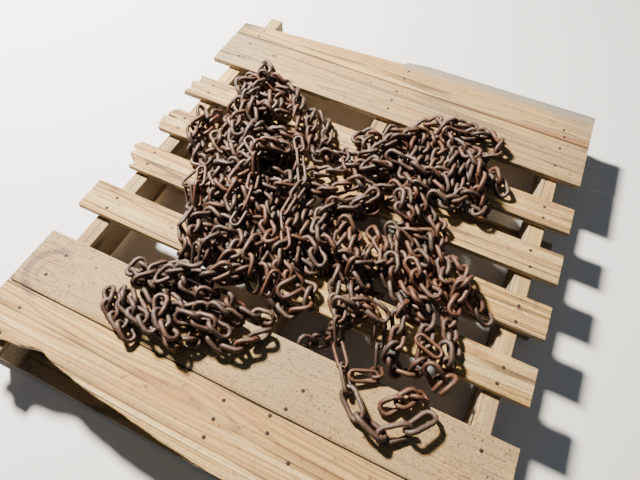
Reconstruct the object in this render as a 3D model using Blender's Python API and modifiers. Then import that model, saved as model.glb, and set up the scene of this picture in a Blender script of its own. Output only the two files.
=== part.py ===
"""A heap of rusty iron chain on a worn softwood pallet.

Metres, +Z up, +Y along the stringers. The origin is at the middle of the pallet's footprint,
at the level of the floor it stands on.
"""

import math

import bmesh
import bpy
import numpy as np
from mathutils import Matrix, Vector
from mathutils.bvhtree import BVHTree

# Pallet
BOARD_LENGTH = 1.067
BOARD_THICKNESS = 0.016
STRINGER_LENGTH = 1.219
STRINGER_WIDTH = 0.038
STRINGER_HEIGHT = 0.089
STRINGER_INSET = 0.050
BOTTOM_THICKNESS = 0.016
EDGE_ROUND = 0.0015

# Boards from the front. The open spaces share out what the boards leave of the stringers' length, and
# a space of 0 is a closed seam
DECK_WIDTHS = [0.137, 0.137, 0.083, 0.081, 0.082, 0.078, 0.140, 0.128]
DECK_SPACES = [0, 80, 65, 60, 65, 81, 0]
BOTTOM_WIDTHS = [0.137, 0.089, 0.089, 0.089, 0.137]
BOTTOM_SPACES = [68, 256, 106, 248]
SEAM = 0.001

# A long sliver is missing from the front board's near edge: distance from the board's left end, and
# share of the full depth
BITE_DEPTH = 0.045
BITE = [(0.0, 0.55), (0.045, 0.45), (0.081, 0.62), (0.121, 0.72), (0.167, 1.0), (0.207, 0.75),
        (0.285, 0.48), (0.369, 0.34), (0.464, 0.13), (0.560, 0.0)]

# Left ends broken off, from the far corner to the near one: shares of the break's length and of the
# board's width
JAG_LENGTH = 0.035
JAGGED_END = [(0.3, 1.0), (0.0, 0.72), (0.5, 0.62), (0.15, 0.45), (1.0, 0.2), (0.8, 0.0)]
SPLIT_LENGTH = 0.060
SPLIT_END = [(0.45, 1.0), (0.1, 0.66), (1.0, 0.60), (0.0, 0.54), (0.15, 0.25), (0.3, 0.0)]
FRAY_LENGTH = 0.030
FRAYED_END = [(0.2, 1.0), (0.6, 0.7), (0.0, 0.55), (0.25, 0.3), (0.0, 0.0)]

# The last board is a wedge, wide at its right end, with a step where a splinter came away
WEDGE_NARROW = 0.050
STEP_WIDTHS = (0.096, 0.108, 0.118)
STEP_PLACES = (-0.012, -0.004, 0.045)

# Thick links with a twist, and slim straight links
TWIST_ROD = 0.011
TWIST_LENGTH = 0.058
TWIST_WIDTH = 0.037
TWIST_ANGLE = math.radians(18)
SLIM_ROD = 0.008
SLIM_LENGTH = 0.067
SLIM_WIDTH = 0.029

# Linked rods are pressed into each other by this much, and what else touches keeps a hair of air
LINK_PRESS = 0.0030
CONTACT_GAP = 0.0003

# Facets along a link's ring, around its rod, and of the heap's hidden middles
LINK_SEGMENTS = 6
ROD_SIDES = 4
MOUND_SEGMENTS = 14
MOUND_RINGS = 8

# Steps along a strand's route, along an edge that is tested for contact, and of a strand that is raised
# until it is clear
ROUTE_STEP = 0.006
EDGE_STEP = 0.002
RISE_STEP = 0.0002

HALF_LENGTH = BOARD_LENGTH / 2
HALF_DEPTH = STRINGER_LENGTH / 2
STRINGER_BASE = BOTTOM_THICKNESS + CONTACT_GAP
DECK_BASE = STRINGER_BASE + STRINGER_HEIGHT + CONTACT_GAP
DECK_TOP = DECK_BASE + BOARD_THICKNESS

# The heap's hidden middles: centre x, centre y, half length, half width, height, turn in degrees
MOUNDS = {
    "left": [
        (-0.250, 0.185, 0.115, 0.075, 0.062, -62),
        (-0.340, 0.040, 0.100, 0.065, 0.034, -65),
        (-0.190, -0.010, 0.150, 0.085, 0.054, -72),
        (-0.085, -0.160, 0.095, 0.070, 0.042, -70),
    ],
    "right": [
        (0.150, 0.185, 0.165, 0.105, 0.066, 28),
        (0.020, 0.060, 0.090, 0.070, 0.040, 20),
    ],
    "front_left": [(-0.190, -0.375, 0.120, 0.045, 0.022, -10)],
    "front_right": [(0.235, -0.050, 0.110, 0.080, 0.034, -35)],
}

# Strands of chain from the lowest to the highest: name, kind of link, turn of the first link in
# degrees, and the route as seen from above
STRANDS = [
    ("edge_left", "twist", 40, [(-0.325, -0.400), (-0.290, -0.440), (-0.250, -0.452),
                                (-0.190, -0.455)]),
    ("front_left", "twist", 45, [(-0.080, -0.405), (-0.035, -0.412), (0.000, -0.400), (0.030, -0.345),
                                 (0.062, -0.315)]),
    ("front_ring", "twist", 50, [(0.070, -0.335), (0.100, -0.305), (0.125, -0.275), (0.150, -0.262)]),
    ("front_loop", "twist", 40, [(0.215, -0.395), (0.240, -0.425), (0.285, -0.430), (0.330, -0.400),
                                 (0.352, -0.360), (0.340, -0.325)]),
    ("front_drop_left", "slim", 60, [(0.150, -0.232), (0.160, -0.280), (0.178, -0.325), (0.195, -0.372),
                                     (0.215, -0.400)]),
    ("front_drop_right", "slim", 30, [(0.200, -0.235), (0.235, -0.290), (0.262, -0.325),
                                      (0.270, -0.350), (0.235, -0.385)]),
    ("right_outlier", "twist", 45, [(0.330, -0.090), (0.385, -0.110), (0.440, -0.112)]),
    ("right_tail", "twist", 35, [(0.340, -0.195), (0.360, -0.235), (0.370, -0.275), (0.372, -0.310)]),
    ("right_edge", "twist", 45, [(0.345, -0.060), (0.335, -0.110), (0.330, -0.150), (0.315, -0.190)]),
    ("lobe_back", "twist", 45, [(-0.285, -0.375), (-0.270, -0.340), (-0.230, -0.305),
                                (-0.185, -0.295)]),
    ("lobe_front", "twist", 40, [(-0.300, -0.398), (-0.250, -0.418), (-0.200, -0.425),
                                 (-0.140, -0.428)]),
    ("lobe_middle", "twist", 50, [(-0.250, -0.385), (-0.200, -0.385), (-0.140, -0.385),
                                  (-0.090, -0.355), (-0.050, -0.310)]),
    ("lobe_bridge", "twist", 45, [(-0.160, -0.320), (-0.130, -0.270), (-0.105, -0.225),
                                  (-0.085, -0.180)]),
    ("slim_left", "slim", 20, [(-0.335, -0.020), (-0.310, -0.080), (-0.285, -0.145), (-0.250, -0.200),
                               (-0.200, -0.245)]),
    ("tangle_front", "twist", 45, [(0.120, -0.235), (0.165, -0.228), (0.200, -0.205), (0.205, -0.165)]),
    ("tangle_left", "twist", 35, [(0.110, -0.050), (0.112, -0.100), (0.125, -0.145), (0.150, -0.190)]),
    ("tangle_middle", "twist", 40, [(0.185, -0.080), (0.215, -0.125), (0.250, -0.160),
                                    (0.265, -0.205)]),
    ("tangle_right", "twist", 45, [(0.175, 0.005), (0.225, 0.010), (0.265, -0.015), (0.305, -0.070),
                                   (0.285, -0.130)]),
    ("bump_left", "twist", 45, [(-0.425, 0.150), (-0.410, 0.075), (-0.385, 0.015), (-0.330, -0.020),
                                (-0.265, -0.035)]),
    ("bump_top", "twist", 30, [(-0.340, 0.080), (-0.310, 0.040), (-0.255, 0.010), (-0.200, -0.005)]),
    ("mound_left", "twist", 45, [(-0.335, 0.280), (-0.340, 0.230), (-0.330, 0.175), (-0.300, 0.110),
                                 (-0.265, 0.040)]),
    ("mound_top", "twist", 40, [(-0.355, 0.315), (-0.310, 0.300), (-0.260, 0.260), (-0.220, 0.215),
                                (-0.180, 0.185), (-0.145, 0.130)]),
    ("mound_middle", "twist", 50, [(-0.290, 0.205), (-0.265, 0.120), (-0.245, 0.060), (-0.220, 0.005),
                                   (-0.215, -0.060), (-0.210, -0.115), (-0.200, -0.175)]),
    ("slim_middle", "slim", 35, [(-0.235, 0.045), (-0.195, -0.020), (-0.165, -0.085), (-0.150, -0.140),
                                 (-0.160, -0.185)]),
    ("slim_right", "slim", 50, [(-0.160, 0.130), (-0.120, 0.075), (-0.090, 0.025), (-0.070, -0.040),
                                (-0.050, -0.115), (-0.035, -0.190)]),
    ("hollow_middle", "twist", 45, [(-0.015, 0.000), (0.000, -0.050), (0.015, -0.110),
                                    (0.040, -0.160)]),
    ("hollow_back", "slim", 40, [(-0.035, 0.155), (-0.015, 0.095), (0.005, 0.035)]),
    ("right_front", "twist", 40, [(-0.010, 0.000), (0.035, 0.040), (0.080, 0.080), (0.120, 0.120),
                                  (0.150, 0.085), (0.185, 0.040)]),
    ("right_low", "twist", 45, [(0.190, 0.110), (0.235, 0.105), (0.275, 0.135), (0.300, 0.170)]),
    ("right_back", "twist", 45, [(0.010, 0.140), (0.045, 0.180), (0.075, 0.235), (0.110, 0.290),
                                 (0.150, 0.320)]),
    ("right_fall", "twist", 35, [(0.175, 0.320), (0.225, 0.285), (0.280, 0.225), (0.315, 0.170),
                                 (0.328, 0.110)]),
    ("right_corner", "twist", 45, [(0.180, 0.285), (0.205, 0.325), (0.245, 0.350), (0.285, 0.400)]),
    ("right_top", "twist", 40, [(0.070, 0.180), (0.120, 0.180), (0.160, 0.175), (0.200, 0.165),
                                (0.240, 0.125)]),
]


def clear_scene():
    for item in list(bpy.data.objects):
        bpy.data.objects.remove(item, do_unlink=True)


def new_collection(name):
    group = bpy.data.collections.new(name)
    bpy.context.scene.collection.children.link(group)
    return group


def new_material(name, colour, roughness, metallic=0.0):
    material = bpy.data.materials.new(name)
    material.use_nodes = True
    shader = material.node_tree.nodes["Principled BSDF"]
    shader.inputs["Base Color"].default_value = (*colour, 1.0)
    shader.inputs["Roughness"].default_value = roughness
    shader.inputs["Metallic"].default_value = metallic
    material.diffuse_color = (*colour, 1.0)
    return material


def take_object(collection, name, material):
    """Name the active object, give it its material and move it to a collection."""
    item = bpy.context.active_object
    item.name = name
    item.data.name = name
    item.data.materials.clear()
    item.data.materials.append(material)
    for group in list(item.users_collection):
        group.objects.unlink(item)
    collection.objects.link(item)
    return item


def timber(collection, name, material, low, high):
    """A sawn length of timber between two corners, with slightly rounded edges."""
    centre = [(a + b) / 2 for a, b in zip(low, high)]
    bpy.ops.mesh.primitive_cube_add(size=1, location=centre)
    item = take_object(collection, name, material)
    item.data.transform(Matrix.Diagonal((*[b - a for a, b in zip(low, high)], 1)))
    edge = item.modifiers.new("worn edges", "BEVEL")
    edge.width = EDGE_ROUND
    edge.segments = 1
    return item


def cut_board(collection, name, material, outline):
    """A deck board with a broken outline, as a filled flat curve given its thickness."""
    curve = bpy.data.curves.new(name, "CURVE")
    curve.dimensions = "2D"
    curve.fill_mode = "BOTH"
    curve.extrude = BOARD_THICKNESS / 2
    spline = curve.splines.new("POLY")
    spline.points.add(len(outline) - 1)
    for point, (x, y) in zip(spline.points, outline):
        point.co = (x, y, 0, 1)
    spline.use_cyclic_u = True
    item = bpy.data.objects.new(name, curve)
    item.location.z = DECK_BASE + BOARD_THICKNESS / 2
    item.data.materials.append(material)
    collection.objects.link(item)
    return item


def bitten_outline(near, far):
    """The front board, with its near edge bitten away on the left."""
    bite = [(-HALF_LENGTH + along, near + BITE_DEPTH * share) for along, share in BITE]
    return [(-HALF_LENGTH, far), *bite, (HALF_LENGTH, near), (HALF_LENGTH, far)]


def broken_outline(near, far, length, end):
    """A board whose left end broke off."""
    ragged = [(-HALF_LENGTH + length * back, near + (far - near) * across) for back, across in end]
    return [(HALF_LENGTH, far), *ragged, (HALF_LENGTH, near)]


def wedge_outline(near, far):
    """The last board, narrow at its left end."""
    steps = [(place, near + width) for place, width in zip(STEP_PLACES, STEP_WIDTHS)]
    return [(-HALF_LENGTH, near + WEDGE_NARROW), (-HALF_LENGTH, near), (HALF_LENGTH, near),
            (HALF_LENGTH, far), *steps[::-1]]


def board_edges(widths, spaces):
    """Near and far edge of each board in a row that reaches from end to end of the stringers."""
    free = STRINGER_LENGTH - sum(widths) - SEAM * spaces.count(0)
    near = -HALF_DEPTH
    edges = []
    for width, space in zip(widths, [*spaces, 0]):
        edges.append((near, near + width))
        near += width + (free * space / sum(spaces) if space else SEAM)
    return edges


def build_pallet(collection, materials):
    centres = (-HALF_LENGTH + STRINGER_INSET + STRINGER_WIDTH / 2, 0.0,
               HALF_LENGTH - STRINGER_INSET - STRINGER_WIDTH / 2)
    for side, x in zip(("left", "middle", "right"), centres):
        timber(collection, f"stringer_{side}", materials["timber"],
               (x - STRINGER_WIDTH / 2, -HALF_DEPTH, STRINGER_BASE),
               (x + STRINGER_WIDTH / 2, HALF_DEPTH, STRINGER_BASE + STRINGER_HEIGHT))
    for number, (near, far) in enumerate(board_edges(BOTTOM_WIDTHS, BOTTOM_SPACES), 1):
        timber(collection, f"bottom_board_{number}", materials["timber"],
               (-HALF_LENGTH, near, 0), (HALF_LENGTH, far, BOTTOM_THICKNESS))
    edges = dict(enumerate(board_edges(DECK_WIDTHS, DECK_SPACES), 1))
    outlines = {
        1: bitten_outline(*edges[1]),
        4: broken_outline(*edges[4], JAG_LENGTH, JAGGED_END),
        5: broken_outline(*edges[5], SPLIT_LENGTH, SPLIT_END),
        6: broken_outline(*edges[6], FRAY_LENGTH, FRAYED_END),
        8: wedge_outline(*edges[8]),
    }
    deck = []
    for number, (near, far) in edges.items():
        name = f"deck_board_{number}"
        if number in outlines:
            deck.append(cut_board(collection, name, materials["timber"], outlines[number]))
        else:
            deck.append(timber(collection, name, materials["timber"],
                               (-HALF_LENGTH, near, DECK_BASE), (HALF_LENGTH, far, DECK_TOP)))
    return deck


def hide_cutter(item):
    item.hide_render = True
    item.display_type = "WIRE"


def deck_level_cutter(cutters, material):
    """A block that fills everything below the deck's top, to cut flat undersides with."""
    depth = 2 * max(mound[4] for mounds in MOUNDS.values() for mound in mounds)
    bpy.ops.mesh.primitive_cube_add(size=1)
    block = take_object(cutters, "deck_level", material)
    block.data.transform(Matrix.Translation((0, 0, DECK_TOP + CONTACT_GAP - depth / 2))
                         @ Matrix.Diagonal((2 * BOARD_LENGTH, 2 * STRINGER_LENGTH, depth, 1)))
    hide_cutter(block)
    return block


def build_core(collection, cutters, material, name, mounds, deck_level):
    """A hidden middle of the heap: flattened balls joined into one lump with a flat underside."""
    balls = []
    for x, y, length, width, height, turn in mounds:
        bpy.ops.mesh.primitive_uv_sphere_add(segments=MOUND_SEGMENTS, ring_count=MOUND_RINGS, radius=1)
        ball = take_object(cutters, "mound", material)
        turned = Matrix.Rotation(math.radians(turn), 4, "Z")
        ball.data.transform(Matrix.Translation((x, y, DECK_TOP)) @ turned
                            @ Matrix.Diagonal((length, width, height, 1)))
        balls.append(ball)
    lump = balls[0]
    for ball in balls[1:]:
        hide_cutter(ball)
        joined = lump.modifiers.new("join", "BOOLEAN")
        joined.operation = "UNION"
        joined.object = ball
    flat = lump.modifiers.new("flat underside", "BOOLEAN")
    flat.operation = "DIFFERENCE"
    flat.object = deck_level
    lump.name = f"chain_core_{name}"
    cutters.objects.unlink(lump)
    collection.objects.link(lump)
    return lump


def link_mesh(kind):
    """One link: a ring drawn out lengthwise, and for the thick kind twisted about its length."""
    rod, length, width, twist = {
        "twist": (TWIST_ROD, TWIST_LENGTH, TWIST_WIDTH, TWIST_ANGLE),
        "slim": (SLIM_ROD, SLIM_LENGTH, SLIM_WIDTH, 0.0),
    }[kind]
    bpy.ops.mesh.primitive_torus_add(major_segments=LINK_SEGMENTS, minor_segments=ROD_SIDES,
                                     major_radius=(width - rod) / 2, minor_radius=rod / 2)
    ring = bpy.context.active_object
    stretch = (length - width) / 2
    for vertex in ring.data.vertices:
        vertex.co.x += math.copysign(stretch, vertex.co.x)
        vertex.co = Matrix.Rotation(twist * vertex.co.x / (length / 2), 3, "X") @ vertex.co
    mesh = ring.data
    bpy.data.objects.remove(ring)
    return mesh, length - 2 * rod + LINK_PRESS, (width - rod) / 2, rod / 2


def smooth_route(points, fineness=24):
    """Points about a step apart on a smooth curve through the route, from end to end."""
    corners = np.array([points[0], *points, points[-1]], dtype=float)
    steps = np.linspace(0, 1, fineness, endpoint=False)[:, None]
    pieces = []
    for a, b, c, d in zip(corners[:-3], corners[1:-2], corners[2:-1], corners[3:]):
        pieces.append(b + 0.5 * steps * ((c - a) + steps * ((2 * a - 5 * b + 4 * c - d)
                                                             + steps * (3 * (b - c) + d - a))))
    curve = np.vstack([*pieces, corners[-1:]])
    travel = np.concatenate([[0], np.cumsum(np.linalg.norm(np.diff(curve, axis=0), axis=1))])
    marks = np.linspace(0, travel[-1], max(int(travel[-1] / ROUTE_STEP), 2))
    return np.stack([np.interp(marks, travel, curve[:, k]) for k in range(2)], axis=1)


def walk(path, pitch):
    """Points on a path, each one pitch away from the one before it in a straight line."""
    places = [Vector(path[0])]
    for a, b in zip(path, path[1:]):
        start, end = Vector(a), Vector(b)
        while (end - places[-1]).length >= pitch:
            run = end - start
            back = start - places[-1]
            half = back.dot(run) / run.length_squared
            reach = math.sqrt(half ** 2 - (back.length_squared - pitch ** 2) / run.length_squared)
            places.append(start + run * (reach - half))
            start = places[-1]
            if (end - start).length < 1e-6:
                break
    return places


def height_below(trees, x, y):
    """Height of whatever lies highest at a place, or the deck."""
    height = DECK_TOP
    for tree in trees:
        hit = tree.ray_cast(Vector((x, y, 1.0)), Vector((0, 0, -1)))[0]
        if hit is not None:
            height = max(height, hit.z)
    return height


def sample_edges(mesh):
    """Points along every edge of a mesh."""
    places = [v.co.copy() for v in mesh.vertices]
    for edge in mesh.edges:
        a, b = (mesh.vertices[i].co for i in edge.vertices)
        parts = int((b - a).length / EDGE_STEP)
        places.extend(a.lerp(b, (i + 1) / (parts + 1)) for i in range(parts))
    return places


def tree_of(mesh, rise=0.0):
    return BVHTree.FromPolygons([(v.co.x, v.co.y, v.co.z + rise) for v in mesh.vertices],
                                [p.vertices[:] for p in mesh.polygons])


def seat_rise(mesh, trees, places_below):
    """How far a strand has to move up or down until it just rests on what lies under it."""
    tree = tree_of(mesh)
    down = Vector((0, 0, -1))
    own = sample_edges(mesh)
    drop = math.inf
    for other in trees:
        for place in own:
            hit = other.ray_cast(place, down)[0]
            if hit is not None:
                drop = min(drop, place.z - hit.z)
    for place in places_below:
        hit = tree.ray_cast(place, -down)[0]
        if hit is not None:
            drop = min(drop, hit.z - place.z)
    rise = -drop
    while any(tree_of(mesh, rise + gap).overlap(other) for other in trees for gap in (0, CONTACT_GAP)):
        rise += RISE_STEP
    return rise + CONTACT_GAP


def strand_frames(points, pitch, half_width, rod_radius, first_turn, trees):
    """Where each link of a strand lies: along its route, over what is already there."""
    route = smooth_route(points)
    lift = half_width * math.sin(math.radians(45)) + rod_radius
    reach = half_width + rod_radius
    turns = np.arange(8) * math.tau / 8
    around = [(0, 0), *((reach * math.cos(turn), reach * math.sin(turn)) for turn in turns)]
    heights = [max(height_below(trees, x + dx, y + dy) for dx, dy in around) + lift for x, y in route]
    spread = np.hanning(2 * int(pitch / ROUTE_STEP) + 1)
    heights = np.convolve(np.pad(heights, len(spread) // 2, mode="edge"), spread / spread.sum(), "valid")
    nodes = walk(np.column_stack([route, heights]), pitch)
    frames = []
    for index, (start, end) in enumerate(zip(nodes, nodes[1:])):
        along = (end - start).normalized()
        side = Vector((0, 0, 1)).cross(along).normalized()
        side = Matrix.Rotation(math.radians(first_turn + 90 * index), 3, along) @ side
        frame = Matrix((along, side, along.cross(side))).transposed().to_4x4()
        frames.append(Matrix.Translation((start + end) / 2) @ frame)
    return frames


def tidy_body(mesh, fewest_faces=12):
    """Remove the specks that a joint of two rods can leave beside the joined body, and fix how its
    bent faces are split."""
    body = bmesh.new()
    body.from_mesh(mesh)
    left = set(body.faces)
    while left:
        island = {left.pop()}
        waiting = list(island)
        while waiting:
            near = {f for edge in waiting.pop().edges for f in edge.link_faces} - island
            island |= near
            waiting.extend(near)
        left -= island
        if len(island) < fewest_faces:
            bmesh.ops.delete(body, geom=list(island), context="FACES")
    bmesh.ops.triangulate(body, faces=body.faces)
    body.to_mesh(mesh)
    body.free()


def build_strand(collection, cutters, material, strand, trees, places_below):
    """A strand of chain as one body: each link joined to the one before it where their rods press."""
    name, kind, first_turn, points = strand
    ring, pitch, half_width, rod_radius = link_mesh(kind)
    links = []
    for frame in strand_frames(points, pitch, half_width, rod_radius, first_turn, trees):
        placed = ring.copy()
        placed.transform(frame)
        links.append(bpy.data.objects.new(name, placed))
        cutters.objects.link(links[-1])
    for link in links[1:]:
        joined = links[0].modifiers.new("linked", "BOOLEAN")
        joined.operation = "UNION"
        joined.object = link
    mesh = evaluated_mesh(links[0])
    for link in links:
        bpy.data.objects.remove(link)
    bpy.data.meshes.remove(ring)
    tidy_body(mesh)
    mesh.transform(Matrix.Translation((0, 0, seat_rise(mesh, trees, places_below))))
    mesh.materials.clear()
    mesh.materials.append(material)
    mesh.shade_smooth()
    mesh.set_sharp_from_angle(angle=math.radians(50))
    collection.objects.link(bpy.data.objects.new(f"chain_{name}", mesh))
    return mesh


def evaluated_mesh(item):
    bpy.context.view_layer.update()
    graph = bpy.context.evaluated_depsgraph_get()
    mesh = bpy.data.meshes.new_from_object(item.evaluated_get(graph), depsgraph=graph)
    mesh.transform(item.matrix_world)
    return mesh


def build_heap(collection, cutters, material, deck):
    deck_level = deck_level_cutter(cutters, material)
    trees = []
    places_below = []

    def lay(mesh):
        trees.append(tree_of(mesh))
        places_below.extend(sample_edges(mesh))

    cores = [build_core(collection, cutters, material, name, mounds, deck_level)
             for name, mounds in MOUNDS.items()]
    for item in [*deck, *cores]:
        shape = evaluated_mesh(item)
        lay(shape)
        bpy.data.meshes.remove(shape)
    for strand in STRANDS:
        lay(build_strand(collection, cutters, material, strand, trees, places_below))


def main():
    clear_scene()
    collection = new_collection("chain_heap_on_pallet")
    cutters = new_collection("cutters")
    materials = {
        "timber": new_material("weathered_pine", (0.72, 0.60, 0.42), 0.85),
        "iron": new_material("rusty_iron", (0.20, 0.12, 0.085), 0.80, 0.25),
    }
    deck = build_pallet(collection, materials)
    build_heap(collection, cutters, materials["iron"], deck)


main()
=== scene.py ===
import bpy
import numpy as np
from mathutils import Matrix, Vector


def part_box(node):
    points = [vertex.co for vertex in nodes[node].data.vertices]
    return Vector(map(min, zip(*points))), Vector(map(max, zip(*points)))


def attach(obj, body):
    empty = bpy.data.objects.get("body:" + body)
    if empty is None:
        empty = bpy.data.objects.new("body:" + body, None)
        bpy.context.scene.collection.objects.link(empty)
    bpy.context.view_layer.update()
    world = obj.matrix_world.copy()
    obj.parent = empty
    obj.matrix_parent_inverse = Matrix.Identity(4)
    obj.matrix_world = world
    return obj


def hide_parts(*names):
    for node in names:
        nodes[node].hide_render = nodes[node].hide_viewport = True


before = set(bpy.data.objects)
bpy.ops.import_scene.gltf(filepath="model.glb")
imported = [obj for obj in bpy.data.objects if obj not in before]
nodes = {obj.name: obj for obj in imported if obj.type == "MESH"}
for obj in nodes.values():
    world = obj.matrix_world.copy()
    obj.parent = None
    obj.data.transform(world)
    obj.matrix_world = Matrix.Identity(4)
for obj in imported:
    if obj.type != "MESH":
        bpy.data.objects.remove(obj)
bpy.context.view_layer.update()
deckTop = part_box("deck_board_3")[1][2]
print("frame loaded, deck top at %.4f m" % deckTop)


# Shader maths: a Value wraps a socket, and its operators add Math nodes
class Value:
    def __init__(self, finish, socket):
        self.finish, self.socket = finish, socket

    def math(self, operation, *terms):
        made = self.finish.node("ShaderNodeMath", {"operation": operation}, dict(enumerate(terms)))
        return Value(self.finish, made.outputs[0])

    def __add__(self, other):
        return self.math("ADD", self, other)

    def __radd__(self, other):
        return self.math("ADD", other, self)

    def __sub__(self, other):
        return self.math("SUBTRACT", self, other)

    def __rsub__(self, other):
        return self.math("SUBTRACT", other, self)

    def __mul__(self, other):
        return self.math("MULTIPLY", self, other)

    def __truediv__(self, other):
        return self.math("DIVIDE", self, other)

    def __pow__(self, other):
        return self.math("POWER", self, other)

    def sine(self):
        return self.math("SINE", self)

    def size(self):
        return self.math("ABSOLUTE", self)

    def root(self):
        return self.math("SQRT", self)

    # 0 below low, 1 above high, and a smooth rise between them
    def between(self, low, high):
        settings = {"interpolation_type": "SMOOTHSTEP"}
        sockets = {"Value": self, "From Min": low, "From Max": high}
        return Value(self.finish, self.finish.node("ShaderNodeMapRange", settings, sockets).outputs[0])

    # 1 within low of a centre, 0 beyond high, and a smooth fall between them
    def near(self, centre, low, high):
        return 1.0 - (self - centre).size().between(low, high)


class Finish:
    def __init__(self, name, rough, metal=0.0):
        self.material = bpy.data.materials.new(name)
        self.material.use_nodes = True
        self.tree = self.material.node_tree
        self.shader = self.tree.nodes["Principled BSDF"]
        self.shader.inputs["Roughness"].default_value = rough
        self.shader.inputs["Metallic"].default_value = metal

    # one node of a type, its settings first and then its sockets' values or links
    def node(self, kind, settings=None, sockets=None):
        made = self.tree.nodes.new(kind)
        for key, value in (settings or {}).items():
            setattr(made, key, value)
        for key, value in (sockets or {}).items():
            self.feed(made.inputs[key], value)
        return made

    def feed(self, socket, value):
        if isinstance(value, Value):
            self.tree.links.new(value.socket, socket)
        elif isinstance(value, bpy.types.NodeSocket):
            self.tree.links.new(value, socket)
        else:
            socket.default_value = value

    def place(self):
        return self.node("ShaderNodeTexCoord").outputs["Object"]

    def read(self, name, output="Fac"):
        return self.node("ShaderNodeAttribute", {"attribute_name": name}).outputs[output]

    def value(self, name):
        return Value(self, self.read(name))

    def parts(self, vector):
        split = self.node("ShaderNodeSeparateXYZ", None, {0: vector})
        return [Value(self, socket) for socket in split.outputs]

    # how far the surface faces up, from -1 to 1
    def up(self):
        return self.parts(self.node("ShaderNodeNewGeometry").outputs["Normal"])[2]

    def stretched(self, vector, scale, shift):
        sockets = {"Vector": vector, "Scale": scale, "Location": shift}
        return self.node("ShaderNodeMapping", None, sockets).outputs[0]

    def noise(self, vector, scale, detail, rough):
        sockets = {"Vector": vector, "Scale": scale, "Detail": detail, "Roughness": rough}
        return Value(self, self.node("ShaderNodeTexNoise", None, sockets).outputs["Fac"])

    def mixed(self, share, first, second):
        settings = {"data_type": "RGBA", "clamp_factor": True}
        return self.node("ShaderNodeMix", settings, {0: share, 6: first, 7: second}).outputs[2]

    # the colour so far, covered by another one of the palette by a share
    def cover(self, share, key):
        self.colour = self.mixed(share, self.colour, self.palette[key])

    def bumped(self, height, strength, depth):
        sockets = {"Height": height, "Strength": strength, "Distance": depth}
        self.feed(self.shader.inputs["Normal"], self.node("ShaderNodeBump", None, sockets).outputs[0])

    def coloured(self, colour):
        self.feed(self.shader.inputs["Base Color"], colour)


def rgb(r, g, b):
    return (r, g, b, 1.0)


# a mesh, lamp or camera as an object of the scene
def added(name, data):
    made = bpy.data.objects.new(name, data)
    bpy.context.scene.collection.objects.link(made)
    return made


# Dry sawn pine: rings of the log cut by the board, grey weathered patches, dirt, cracks and knots
pine = {
    "early": rgb(0.57, 0.345, 0.098), "late": rgb(0.25, 0.105, 0.028), "warm": rgb(0.50, 0.215, 0.048),
    "grey": rgb(0.27, 0.220, 0.155), "stain": rgb(0.24, 0.140, 0.060), "dust": rgb(0.37, 0.255, 0.125),
    "dark": rgb(0.030, 0.018, 0.010), "knot": rgb(0.13, 0.060, 0.028), "pale": rgb(0.72, 0.55, 0.255),
    "wane": rgb(0.27, 0.130, 0.050), "arch": rgb(0.14, 0.078, 0.055), "silver": rgb(0.22, 0.20, 0.175),
    "cutPale": rgb(0.40, 0.30, 0.18), "cutDark": rgb(0.20, 0.14, 0.085), "cutPace": 1100.0,
    "ringGap": 0.0042, "heartDepth": 0.045, "archPlace": (-0.4615, -0.4235, 0.054),
    "swirls": [(-0.4615, -0.4235, 0.024), (0.262, -0.365, 0.009), (-0.300, 0.430, 0.012),
               (0.120, 0.560, 0.010)],
    "knots": [(-0.386, -0.372, 0.0035), (-0.408, -0.432, 0.003), (-0.140, -0.535, 0.003),
              (0.330, 0.395, 0.006), (-0.380, 0.430, 0.007), (0.470, -0.060, 0.005),
              (-0.300, -0.215, 0.004), (0.060, 0.225, 0.005)],
}


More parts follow.
